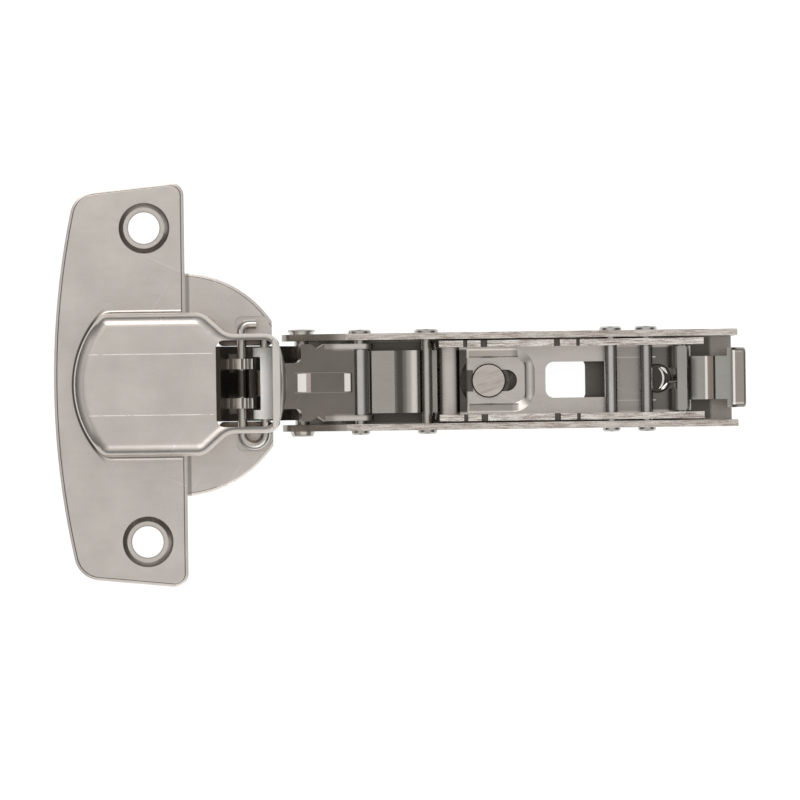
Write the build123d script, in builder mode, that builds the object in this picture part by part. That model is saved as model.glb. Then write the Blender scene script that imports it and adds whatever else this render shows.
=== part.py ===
from build123d import *
import os
from math import atan2, cos, degrees, hypot, radians, sin, sqrt

# Concealed cup hinge, drawn at ninety degrees open.
# Origin: centre of the cup bore on the door's face. +X runs along the arm to its tail,
# +Z points out of the cup's bottom, into the door, and the arm lies below, on the cup's mouth side.
# All sizes in millimetres.

# Fits
running_fit = 0.07
seat_fit = 0.03
loose_fit = 0.35
lift_fit = 0.10

# Cup and flange
cup_sheet = 1.0
cup_radius = 16.95
cup_bow_reach = 17.95
cup_bow_corner = 15.9
cup_depth = 11.5
cup_wide_half = 11.8
cup_narrow_half = 8.2
cup_taper_start = 4.4
cup_taper_end = 8.4
cup_taper_round = 3.2
cup_corner_round = 2.2
cup_draw_round = 2.3
cup_window_left = 6.5
cup_window_right = 15.8
cup_window_round = 1.3
cup_window_rim = 0.1
link_gate_half = 6.5
link_gate_height = 5.2
ring_radius = 18.6
ring_flat = 15.45
ring_step = 0.6
wing_right = 1.1
wing_reach = 20.8
wing_right_half = 33.8
wing_left = -17.0
wing_left_half = 32.0
wing_right_round = 2.2
wing_left_round = 4.5
flange_roll = 0.7
foot_round = 0.7
screw_spacing = 52.0
screw_offset = 5.5
screw_hole_radius = 2.6
dimple_height = 1.0
dimple_foot_radius = 4.2
dimple_top_radius = 3.4
countersink_radius = 4.0
pocket_length = 6.6
pocket_width = 3.2
pocket_depth = 0.5
pocket_reach = 10.1

# Cup pin, one bent wire with two legs
wire_radius = 0.8
leg_near = 10.5
leg_far = 14.33
leg_height = 3.0
leg_overhang = 0.1
hook_round = 1.4
hook_length = 1.1
far_leg_end = 0.75

# Pivots on the arm
inner_pivot = (20.2, -9.5)
outer_pivot = (30.0, -4.5)
spring_pivot = (41.1, -6.5)
stop_place = (71.8, -4.8)
swing_pivot = (77.7, -4.8)
lever_pivot = (83.35, -4.6)
inner_rivet_radius = 1.2
outer_rivet_radius = 0.95
spring_rivet_radius = 0.95
tail_pin_radius = 1.05
inner_head_radius = 2.3
outer_head_radius = 1.9
spring_head_radius = 2.0
tail_head_radius = 1.85
head_height = 0.65
peened_share = 0.8
inner_head_height = 0.4
collar_radius = 2.0
collar_height = 0.45

# Outer link
link_sheet = 1.0
outer_eye_radius = 1.55
outer_neck_half = 2.1
outer_neck_length = 2.6
outer_shoulder_left = 3.3
outer_shoulder_right = 4.3
outer_shoulder_end = 5.9
outer_web_half = 6.4
outer_web_lift = 0.5
outer_cheek_start = 10.2
outer_cheek_radius = 2.2
outer_cheek_sheet = 0.9
outer_sleeve_radius = 1.6
web_to_sleeve = 0.15
notch_place = 8.9
notch_half = 1.25
notch_depth = 0.8
bend_round = 0.6
rib_half = 1.6
rib_height = 0.45
rib_start = 5.95
rib_rise = 1.45
rib_fall = 1.0
rib_stop = 15.2

# Plastic bush on the outer link's cup end
bush_radius = 2.0
bush_flange_inner = 4.4
bush_flange_outer = 5.9
bush_shell_start = 25.0
bush_shell_sweep = 112.0

# Inner link
inner_ear_inner = 2.4
inner_ear_outer = 4.1
inner_ear_half = 1.3
inner_barrel_radius = 2.1
inner_barrel_half = 5.9
inner_web_start = 6.6
inner_web_sheet = 1.1
inner_shield_half = 6.2
inner_shield_lift = -3.0
inner_shield_tip = -2.6
inner_shield_end = 4.8
eye_wall = 0.65
eye_play_wide = 0.37
eye_play_long = 0.50
eye_shift_x = -0.10
eye_shift_z = -0.59
eye_tilt = 66.0

# Turns of the links for one degree of the cup's fold about its far leg
outer_ratio = -0.2622
inner_ratio = -0.3147
relief_folds = (-48.0, -60.0, -72.0)
relief_fit = 0.15

# Arm
arm_half = 8.1
arm_sheet = 1.1
arm_top = -2.0
arm_bottom = -16.5
arm_tail = 92.8
arm_nose = 16.9
nose_low = -12.7
nose_high = -7.2
nose_back_low = 26.5
nose_back_high = 26.6
nose_round = 2.6
belly_round = 7.0
tail_foot = 91.4
tail_low = -15.1
tail_round = 0.8
deck_start = 24.0
deck_window_left = 57.0
deck_window_right = 67.85
deck_window_half = 3.7
deck_window_round = 1.5

# Closing spring, one bent leaf
leaf_sheet = 0.8
leaf_half = 5.2
leaf_hook_start = -15.0
leaf_hook_sweep = -165.0
leaf_free_end = 31.95
leaf_flat_height = -5.3
leaf_bulge_height = -4.0
leaf_bulge_place = 38.4
leaf_bend_radius = 0.6

# Clip channel
channel_half = 6.7
channel_sheet = 1.1
channel_top = -2.4
channel_floor = -7.5
channel_front = 47.7
channel_ear_front = 42.6
channel_ear_drop = 4.4
channel_rear = 84.4
channel_lip_end = 87.2
channel_lip_drop = 2.2
roll_radius = 2.9
roll_place = 44.8
roll_top = -7.7
channel_window_left = 60.95
channel_window_right = 71.9
channel_window_half = 3.0
channel_window_round = 1.4
recess_depth = 0.7
recess_half = 3.75
recess_end = 57.6
recess_slope = 3.1
recess_taper = 65.0
notch_drop = 1.3
strip_depth = 0.25
collar_notch_radius = 4.8
channel_notches = ((47.2, 47.9), (50.1, 51.2), (62.3, 63.3), (66.0, 66.6))

# Adjusting screws
side_screw_place = 51.44
side_head_radius = 2.85
side_head_height = 1.2
side_neck_radius = 1.7
side_slot_half = 1.8
side_slot_start = 48.9
side_slot_end = 56.2
side_collar_radius = 3.5
side_collar_height = 1.2
side_shank_radius = 2.4
side_shank_end = -16.3
screw_recess_radius = 1.5
screw_recess_arm = 0.45
screw_recess_depth = 1.4
depth_screw_place = 79.6
depth_head_radius = 2.4
depth_head_height = 0.7
depth_neck_radius = 1.8
depth_flange_radius = 3.1
depth_flange_height = 1.5
deck_access_radius = 3.5
cam_groove_radius = 1.45
cam_groove_half = 0.3
cam_groove_depth = 0.4
cam_groove_sweep = 200.0

# Release lever and its spring
lever_pin_radius = 0.8
lever_eye_radius = 1.75
lever_lug_inner = 1.75
lever_bar_left = 82.75
lever_bar_right = 84.35
lever_bar_half = 5.35
lever_bar_top = -2.25
lever_bar_sheet = 0.8
lever_sheet = 1.0
lever_half = 3.6
lever_roll_top = -2.5
lever_roll_place = 86.7
lever_dip_place = 88.9
lever_plate_height = -4.0
lever_plate_end = 91.9
lever_lip_end = 94.2
lever_lip_half = 5.0
lever_lip_top = -2.6
lever_lip_bottom = -8.6
lever_lip_round = 1.0
lever_shoulder = 0.9
lever_nose_reach = 1.9
lever_pin_half = 6.6
coil_wire_radius = 0.2
coil_radius = 1.15
coil_turns = 2.25
coil_pitch = 0.46
coil_leg = 2.0

half_spacing = screw_spacing / 2
arm_inner_half = arm_half - arm_sheet
channel_inner_half = channel_half - channel_sheet
channel_under = channel_floor - channel_sheet
strip_floor = channel_floor - strip_depth
recess_floor = channel_floor - recess_depth
recess_under = channel_under - recess_depth
deck_inside = arm_bottom + arm_sheet

# Side view planes: local x along the piece, local y upwards, normal towards -Y.
side_view = Plane.XZ


def link_plane(start, stop):
    """Side-view plane with its origin at one pivot and its x axis towards the other."""
    reach = hypot(stop[0] - start[0], stop[1] - start[1])
    toward = ((stop[0] - start[0]) / reach, 0, (stop[1] - start[1]) / reach)
    return Plane(origin=(start[0], 0, start[1]), x_dir=toward, z_dir=(0, -1, 0))


def turned(place, centre, angle):
    """Place in the side view after a right-hand turn about the +Y axis through a centre."""
    along = place[0] - centre[0]
    above = place[1] - centre[1]
    return (
        centre[0] + along * cos(radians(angle)) + above * sin(radians(angle)),
        centre[1] - along * sin(radians(angle)) + above * cos(radians(angle)),
    )


near_leg = (leg_near, leg_height)
far_leg = (leg_far, leg_height)
outer_plane = link_plane(far_leg, outer_pivot)
outer_length = hypot(outer_pivot[0] - far_leg[0], outer_pivot[1] - far_leg[1])
outer_tilt = degrees(atan2(outer_pivot[1] - far_leg[1], outer_pivot[0] - far_leg[0]))
inner_plane = link_plane(near_leg, inner_pivot)
inner_length = hypot(inner_pivot[0] - near_leg[0], inner_pivot[1] - near_leg[1])


def cross_pin(place, radius, half, head_radius=0.0, head=0.0):
    """Pin across the hinge: its head is at the +Y end, and its peened end is a little smaller."""
    with BuildPart() as pin:
        with BuildSketch(side_view):
            with Locations(place):
                Circle(radius)
        extrude(amount=half, both=True)
        for side, end_radius in ((-1, head_radius), (1, head_radius * peened_share)):
            if head > 0:
                with BuildSketch(side_view.offset(side * (half - head))):
                    with Locations(place):
                        Circle(end_radius)
                extrude(amount=side * head)
                outer_rim = pin.edges().filter_by(GeomType.CIRCLE).sort_by(Axis.Y)[-1 if side < 0 else 0]
                chamfer(outer_rim, head * 0.4)
    return pin.part


def both_sides(inner, outer):
    """Pairs of plane offset and thickness for plates on both sides of the middle."""
    return ((-outer, outer - inner), (inner, outer - inner))


# Cup with its flange, one drawn piece
cup_left = sqrt(cup_radius**2 - cup_wide_half**2)
past_body = max(cup_radius, cup_bow_reach) + cup_sheet
with BuildSketch() as cup_outline:
    with BuildLine():
        Polyline(
            (-cup_left, cup_wide_half),
            (cup_taper_start, cup_wide_half),
            (cup_taper_end, cup_narrow_half),
            (cup_bow_corner, cup_narrow_half),
        )
        ThreePointArc((cup_bow_corner, cup_narrow_half), (cup_bow_reach, 0), (cup_bow_corner, -cup_narrow_half))
        Polyline(
            (cup_bow_corner, -cup_narrow_half),
            (cup_taper_end, -cup_narrow_half),
            (cup_taper_start, -cup_wide_half),
            (-cup_left, -cup_wide_half),
        )
        ThreePointArc((-cup_left, -cup_wide_half), (-cup_radius, 0), (-cup_left, cup_wide_half))
    make_face()
    taper_corners = cup_outline.vertices().filter_by(lambda v: -1 < v.X < cup_taper_end + 0.1)
    fillet(taper_corners, cup_taper_round)
    end_corners = cup_outline.vertices().filter_by(
        lambda v: abs(v.X + cup_left) < 0.01 or abs(v.X - cup_bow_corner) < 0.01
    )
    fillet(end_corners, cup_corner_round)

with BuildPart() as cup_outside:
    with BuildSketch(Plane.XY.offset(-ring_step - cup_sheet / 2)):
        add(cup_outline.sketch)
    extrude(amount=cup_depth + ring_step + cup_sheet / 2)
    fillet(cup_outside.faces().sort_by(Axis.Z)[-1].edges(), cup_draw_round)

with BuildPart() as cup_inside:
    with BuildSketch(Plane.XY.offset(-2 * cup_sheet - ring_step)):
        add(cup_outline.sketch)
        offset(amount=-cup_sheet)
    extrude(amount=cup_depth + ring_step + cup_sheet)
    fillet(cup_inside.faces().sort_by(Axis.Z)[-1].edges(), cup_draw_round - cup_sheet)

with BuildPart() as wing:
    with BuildSketch(Plane.XY.offset(-cup_sheet)) as wing_outline:
        with BuildLine():
            Line((wing_right, -wing_right_half), (wing_right, wing_right_half))
            Line((wing_right, wing_right_half), (wing_left, wing_left_half))
            ThreePointArc((wing_left, wing_left_half), (-wing_reach, 0), (wing_left, -wing_left_half))
            Line((wing_left, -wing_left_half), (wing_right, -wing_right_half))
        make_face()
        fillet(wing_outline.vertices().sort_by(Axis.X)[2:], wing_right_round)
        left_corners = wing_outline.vertices().filter_by(lambda v: abs(v.X - wing_left) < 0.01)
        fillet(left_corners, wing_left_round)
    extrude(amount=cup_sheet)
    fillet(wing.faces().sort_by(Axis.Z)[-1].edges(), flange_roll)

with BuildPart() as ring:
    with BuildSketch(Plane.XY.offset(-ring_step - cup_sheet)) as ring_outline:
        Circle(ring_radius)
        with Locations((wing_right - 2 * ring_radius - flange_roll * 2, 0)):
            Rectangle(4 * ring_radius, 3 * ring_radius, mode=Mode.SUBTRACT)
        with Locations((ring_flat + ring_radius, 0)):
            Rectangle(2 * ring_radius, 3 * ring_radius, mode=Mode.SUBTRACT)
    extrude(amount=cup_sheet)
    fillet(ring.faces().sort_by(Axis.Z)[-1].edges().filter_by(GeomType.CIRCLE), flange_roll)
    pocket_places = [((leg_near + leg_far) / 2 - 0.2, side * pocket_reach) for side in (1, -1)]
    with BuildSketch(Plane.XY.offset(-ring_step - cup_sheet)):
        with Locations(*pocket_places):
            SlotOverall(pocket_length, pocket_width)
        Circle(ring_radius, mode=Mode.INTERSECT)
        with Locations((ring_flat + ring_radius, 0)):
            Rectangle(2 * ring_radius, 3 * ring_radius, mode=Mode.SUBTRACT)
    extrude(amount=-pocket_depth)
    with BuildSketch(Plane.XY.offset(-ring_step)):
        with Locations(*pocket_places):
            SlotOverall(pocket_length - cup_sheet, pocket_width - cup_sheet)
    extrude(amount=-pocket_depth, mode=Mode.SUBTRACT)

# Rounding where the body rises from the wing
with BuildPart() as foot:
    with BuildSketch(Plane.XY.offset(-cup_sheet)):
        Rectangle(3 * past_body, 3 * past_body)
    extrude(amount=cup_sheet)
    add(cup_outside.part)
    body_foot = foot.edges().filter_by(lambda e: abs(e.center().Z) < 0.001 and hypot(*e.center()) < past_body)
    fillet(body_foot, foot_round)
    with BuildSketch(Plane.XY):
        with Locations((wing_right - flange_roll - past_body, 0)):
            Rectangle(2 * past_body, 2 * past_body)
    extrude(amount=2 * foot_round, mode=Mode.INTERSECT)

with BuildPart() as cup:
    add(cup_outside.part)
    add(wing.part)
    add(ring.part)
    add(foot.part)
    add(cup_inside.part, mode=Mode.SUBTRACT)
    screw_places = [(-screw_offset, side * half_spacing) for side in (1, -1)]
    with Locations(*[(x, y, 0) for x, y in screw_places]):
        Cone(
            bottom_radius=dimple_foot_radius,
            top_radius=dimple_top_radius,
            height=dimple_height,
            align=(Align.CENTER, Align.CENTER, Align.MIN),
        )
    with Locations(*[(x, y, -cup_sheet) for x, y in screw_places]):
        Cone(
            bottom_radius=countersink_radius,
            top_radius=screw_hole_radius,
            height=cup_sheet + dimple_height / 2,
            align=(Align.CENTER, Align.CENTER, Align.MIN),
            mode=Mode.SUBTRACT,
        )
    with BuildSketch(Plane.XY.offset(dimple_height)):
        with Locations(*screw_places):
            Circle(screw_hole_radius)
    extrude(amount=-dimple_height - cup_sheet, mode=Mode.SUBTRACT)
    window_middle = (cup_window_left + cup_window_right) / 2
    with BuildSketch(Plane.XY.offset(cup_depth)):
        with Locations((window_middle, 0)):
            RectangleRounded(
                cup_window_right - cup_window_left,
                2 * (cup_narrow_half - cup_sheet - cup_window_rim),
                cup_window_round,
            )
    extrude(amount=-2 * cup_sheet, mode=Mode.SUBTRACT)
    gate_foot = -ring_step - cup_sheet
    with BuildSketch(Plane.YZ.offset(past_body)):
        with Locations((0, (gate_foot + link_gate_height) / 2 - 1)):
            RectangleRounded(2 * link_gate_half, link_gate_height - gate_foot + 2, 1.0)
    extrude(amount=cup_window_right - cup_wide_half / 5 - past_body, mode=Mode.SUBTRACT)
    with BuildSketch(side_view):
        with Locations(near_leg, far_leg):
            Circle(wire_radius + seat_fit)
    extrude(amount=cup_narrow_half + leg_overhang, both=True, mode=Mode.SUBTRACT)
cup.part.label = "cup"

# Wire pin: both pivots of the cup in one bent wire
bend_round_wire = (leg_far - leg_near) / 2
with BuildPart() as cup_pin:
    leg_start = cup_narrow_half + leg_overhang
    hook_y = leg_start + leg_overhang + hook_round
    with BuildLine(Plane.XY.offset(leg_height)) as wire_path:
        Line((leg_near + hook_round + hook_length, hook_y), (leg_near + hook_round, hook_y))
        RadiusArc((leg_near + hook_round, hook_y), (leg_near, hook_y - hook_round), -hook_round)
        Line((leg_near, hook_y - hook_round), (leg_near, -leg_start))
        ThreePointArc(
            (leg_near, -leg_start),
            ((leg_near + leg_far) / 2, -leg_start - bend_round_wire),
            (leg_far, -leg_start),
        )
        Line((leg_far, -leg_start), (leg_far, leg_start + far_leg_end - wire_radius))
    with BuildSketch(Plane(origin=wire_path.wire() @ 0, z_dir=wire_path.wire() % 0)):
        Circle(wire_radius)
    sweep(path=wire_path.wire())
cup_pin.part.label = "cup_pin"

# Outer link: rolled eye in the cup, ribbed web, two cheeks round the arm's rivet
web_end = outer_length - outer_sleeve_radius - web_to_sleeve
with BuildPart() as outer_link:
    with BuildSketch(outer_plane.offset(-outer_neck_half)):
        Circle(outer_eye_radius)
    extrude(amount=2 * outer_neck_half)
    web_plane = Plane(
        origin=outer_plane.from_local_coords(Vector(0, outer_web_lift, 0)),
        x_dir=outer_plane.x_dir,
        z_dir=outer_plane.y_dir,
    )
    with BuildSketch(web_plane) as web_outline:
        with BuildLine():
            Polyline(
                (0, outer_neck_half),
                (outer_neck_length, outer_neck_half),
                (outer_neck_length, outer_shoulder_left),
                (outer_shoulder_end, outer_shoulder_left),
                (outer_shoulder_end, outer_web_half),
                (notch_place - notch_half, outer_web_half),
                (notch_place, outer_web_half - notch_depth),
                (notch_place + notch_half, outer_web_half),
                (web_end, outer_web_half),
                (web_end, -outer_web_half),
                (notch_place + notch_half, -outer_web_half),
                (notch_place, -outer_web_half + notch_depth),
                (notch_place - notch_half, -outer_web_half),
                (outer_shoulder_end, -outer_web_half),
                (outer_shoulder_end, -outer_shoulder_right),
                (outer_neck_length, -outer_shoulder_right),
                (outer_neck_length, -outer_neck_half),
                (0, -outer_neck_half),
                close=True,
            )
        make_face()
        shoulder_roots = web_outline.vertices().filter_by(
            lambda v: abs(v.X - outer_shoulder_end) < 0.01 and abs(v.Y) < outer_web_half - 0.1
        )
        fillet(shoulder_roots, 0.9)
    extrude(amount=link_sheet)
    rib_levels = (
        (outer_web_lift + link_sheet, rib_half, Mode.ADD),
        (outer_web_lift, rib_half - link_sheet / 2, Mode.SUBTRACT),
    )
    for level, half, mode in rib_levels:
        with BuildSketch(outer_plane):
            with BuildLine():
                Polyline(
                    (rib_start, level),
                    (rib_start + rib_rise, level + rib_height),
                    (rib_stop - rib_fall, level + rib_height),
                    (rib_stop, level),
                    close=True,
                )
            make_face()
        extrude(amount=half, both=True, mode=mode)
    for start, thickness in both_sides(outer_web_half - outer_cheek_sheet, outer_web_half):
        with BuildSketch(outer_plane.offset(start)):
            with Locations((outer_length, 0)):
                Circle(outer_cheek_radius)
            with BuildLine():
                Polyline(
                    (outer_cheek_start, outer_web_lift + link_sheet),
                    (outer_length, outer_cheek_radius),
                    (outer_length, -outer_cheek_radius),
                    (outer_cheek_start + 1.2, outer_web_lift - link_sheet),
                    (outer_cheek_start, outer_web_lift),
                    close=True,
                )
            make_face()
        extrude(amount=thickness)
    with BuildSketch(outer_plane):
        Circle(wire_radius + running_fit)
        with Locations((outer_length, 0)):
            Circle(outer_rivet_radius + running_fit)
    extrude(amount=outer_web_half + 1, both=True, mode=Mode.SUBTRACT)
outer_link.part.label = "outer_link"

# Sleeve on the outer link's rivet, between the cheeks
with BuildPart() as outer_sleeve:
    with BuildSketch(side_view):
        with Locations(outer_pivot):
            Circle(outer_sleeve_radius)
            Circle(outer_rivet_radius + running_fit, mode=Mode.SUBTRACT)
    extrude(amount=outer_web_half - outer_cheek_sheet - lift_fit, both=True)
outer_sleeve.part.label = "outer_sleeve"

# Plastic bush snapped on the outer link's cup end
shell_inner = outer_eye_radius + seat_fit
with BuildPart() as link_bush:
    for start, thickness in both_sides(bush_flange_inner, bush_flange_outer):
        with BuildSketch(outer_plane.offset(start)):
            Circle(bush_radius)
            Circle(wire_radius + running_fit, mode=Mode.SUBTRACT)
        extrude(amount=thickness)
    with BuildSketch(outer_plane.offset(-bush_flange_inner)) as shell_sketch:
        Circle(bush_radius)
        Circle(shell_inner, mode=Mode.SUBTRACT)
        with BuildLine():
            first = PolarLine((0, 0), 2 * bush_radius, bush_shell_start)
            middle = PolarLine(first @ 1, 3 * bush_radius, bush_shell_start + bush_shell_sweep / 2)
            last = PolarLine((0, 0), 2 * bush_radius, bush_shell_start + bush_shell_sweep)
            Line(middle @ 1, last @ 1)
        make_face(mode=Mode.INTERSECT)
    extrude(amount=2 * bush_flange_inner)
    with BuildSketch(outer_plane):
        with Locations((2 * bush_radius, outer_web_lift + link_sheet - bush_radius)):
            Rectangle(4 * bush_radius, 2 * bush_radius + 4 * lift_fit)
    extrude(amount=outer_neck_half + 2 * lift_fit, both=True, mode=Mode.SUBTRACT)
link_bush.part.label = "link_bush"

# Inner link: two ears with the open eye, web and barrel
with BuildPart() as inner_link:
    eye_place = (leg_near + eye_shift_x, leg_height + eye_shift_z)
    eye_bore = wire_radius + eye_play_wide + lift_fit
    for start, thickness in both_sides(inner_ear_inner, inner_ear_outer):
        with BuildSketch(inner_plane.offset(start)):
            with BuildLine():
                Polyline(
                    (0, inner_ear_half),
                    (inner_length, inner_ear_half),
                    (inner_length, -inner_ear_half),
                    (inner_web_start, -inner_ear_half),
                    (inner_shield_end, inner_shield_lift),
                    (inner_shield_tip / 2, inner_shield_lift),
                    close=True,
                )
            make_face()
        extrude(amount=thickness)
        with BuildSketch(side_view.offset(start)):
            with Locations(eye_place):
                SlotCenterToCenter(2 * eye_play_long, 2 * (eye_bore + eye_wall), rotation=eye_tilt)
        extrude(amount=thickness)
    with BuildSketch(inner_plane):
        with BuildLine() as shield_line:
            FilletPolyline(
                (inner_shield_tip, inner_shield_lift),
                (inner_shield_end, inner_shield_lift),
                (inner_web_start + 0.6, -inner_ear_half + inner_web_sheet / 2),
                (inner_length - 0.5, -inner_ear_half + inner_web_sheet / 2),
                radius=inner_web_sheet,
            )
        trace(shield_line.line, inner_web_sheet)
    extrude(amount=inner_shield_half, both=True)
    with BuildSketch(side_view):
        with Locations(inner_pivot):
            Circle(inner_barrel_radius)
    extrude(amount=inner_barrel_half, both=True)
    with BuildSketch(side_view):
        with Locations(eye_place):
            SlotCenterToCenter(2 * eye_play_long, 2 * eye_bore, rotation=eye_tilt)
        with Locations(inner_pivot):
            Circle(inner_rivet_radius + running_fit)
        for fold in relief_folds:
            far_leg_moved = turned(far_leg, outer_pivot, outer_ratio * fold)
            with Locations(turned(far_leg_moved, inner_pivot, -inner_ratio * fold)):
                Circle(wire_radius + relief_fit)
    extrude(amount=inner_barrel_half + 1, both=True, mode=Mode.SUBTRACT)
inner_link.part.label = "inner_link"

# Arm: folded channel with a flat deck, open towards the mounting plate
with BuildPart() as hinge_arm:
    with BuildSketch(side_view) as arm_profile:
        with BuildLine():
            Polyline(
                (arm_tail, arm_top),
                (arm_tail, tail_low),
                (tail_foot, arm_bottom),
                (nose_back_low, arm_bottom),
                (arm_nose, nose_low),
                (arm_nose, nose_high),
                (nose_back_high, arm_top),
                close=True,
            )
        make_face()
        fillet(arm_profile.vertices().sort_by(Axis.X)[:2], nose_round)
        fillet(arm_profile.vertices().filter_by(lambda v: abs(v.X - nose_back_low) < 0.01), belly_round)
        fillet(arm_profile.vertices().filter_by(lambda v: abs(v.X - tail_foot) < 0.01), tail_round)
        fillet(arm_profile.vertices().filter_by(lambda v: abs(v.X - nose_back_high) < 0.01), belly_round)
    extrude(amount=arm_half, both=True)
    with BuildSketch(side_view):
        with BuildLine():
            Polyline(
                (arm_tail + 1, arm_top + 1),
                (arm_tail + 1, deck_inside),
                (nose_back_low + 1, deck_inside),
                (deck_start - 1, deck_inside + 1.2),
                (arm_nose - 1, nose_low - 1),
                (arm_nose - 1, arm_top + 1),
                close=True,
            )
        make_face()
    extrude(amount=arm_inner_half, both=True, mode=Mode.SUBTRACT)
    with BuildSketch(Plane.XY.offset(arm_bottom)):
        with Locations(((deck_window_left + deck_window_right) / 2, 0)):
            RectangleRounded(deck_window_right - deck_window_left, 2 * deck_window_half, deck_window_round)
        with Locations((side_screw_place, 0)):
            Circle(side_shank_radius + loose_fit)
        with Locations((depth_screw_place, 0)):
            Circle(deck_access_radius)
    extrude(amount=2 * arm_sheet, mode=Mode.SUBTRACT)
    with BuildSketch(side_view):
        with Locations(inner_pivot):
            Circle(inner_rivet_radius + seat_fit)
        with Locations(outer_pivot):
            Circle(outer_rivet_radius + seat_fit)
        with Locations(spring_pivot):
            Circle(spring_rivet_radius + seat_fit)
        with Locations(stop_place, swing_pivot):
            Circle(tail_pin_radius + seat_fit)
    extrude(amount=arm_half + 1, both=True, mode=Mode.SUBTRACT)
hinge_arm.part.label = "hinge_arm"

# Rivets and pins across the arm
inner_span = arm_half + collar_height + inner_head_height
inner_rivet = cross_pin(inner_pivot, inner_rivet_radius, inner_span, inner_head_radius, inner_head_height)
inner_rivet.label = "inner_rivet"
outer_rivet = cross_pin(
    outer_pivot, outer_rivet_radius, arm_half + head_height, outer_head_radius, head_height
)
outer_rivet.label = "outer_rivet"
spring_rivet = cross_pin(
    spring_pivot, spring_rivet_radius, arm_half + head_height, spring_head_radius, head_height
)
spring_rivet.label = "spring_rivet"
stop_pin = cross_pin(stop_place, tail_pin_radius, arm_half + head_height, tail_head_radius, head_height)
stop_pin.label = "stop_pin"
swing_pin = cross_pin(swing_pivot, tail_pin_radius, arm_half + head_height, tail_head_radius, head_height)
swing_pin.label = "swing_pin"
lever_pin = cross_pin(lever_pivot, lever_pin_radius, lever_pin_half)
lever_pin.label = "lever_pin"

with BuildPart() as rivet_collars:
    for start, thickness in both_sides(arm_half, arm_half + collar_height):
        with BuildSketch(side_view.offset(start)):
            with Locations(inner_pivot):
                Circle(collar_radius)
                Circle(inner_rivet_radius + seat_fit, mode=Mode.SUBTRACT)
        extrude(amount=thickness)
rivet_collars.part.label = "rivet_collars"

# Closing spring: a leaf hooked under its rivet, its free end beside the link's sleeve
with BuildPart() as closing_spring:
    hook_radius = spring_rivet_radius + seat_fit + leaf_sheet / 2
    with BuildSketch(side_view):
        with BuildLine() as leaf_line:
            hook = CenterArc(spring_pivot, hook_radius, leaf_hook_start, leaf_hook_sweep)
            FilletPolyline(
                hook @ 1,
                (hook @ 1 + (0, 0.2)),
                (leaf_bulge_place + 1.0, leaf_bulge_height - leaf_sheet / 2),
                (leaf_bulge_place - 1.1, leaf_bulge_height - leaf_sheet / 2),
                (leaf_bulge_place - 2.6, leaf_flat_height + 0.25),
                (leaf_free_end, leaf_flat_height),
                radius=leaf_bend_radius,
            )
        trace(leaf_line.line, leaf_sheet)
    extrude(amount=leaf_half, both=True)
closing_spring.part.label = "closing_spring"

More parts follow.
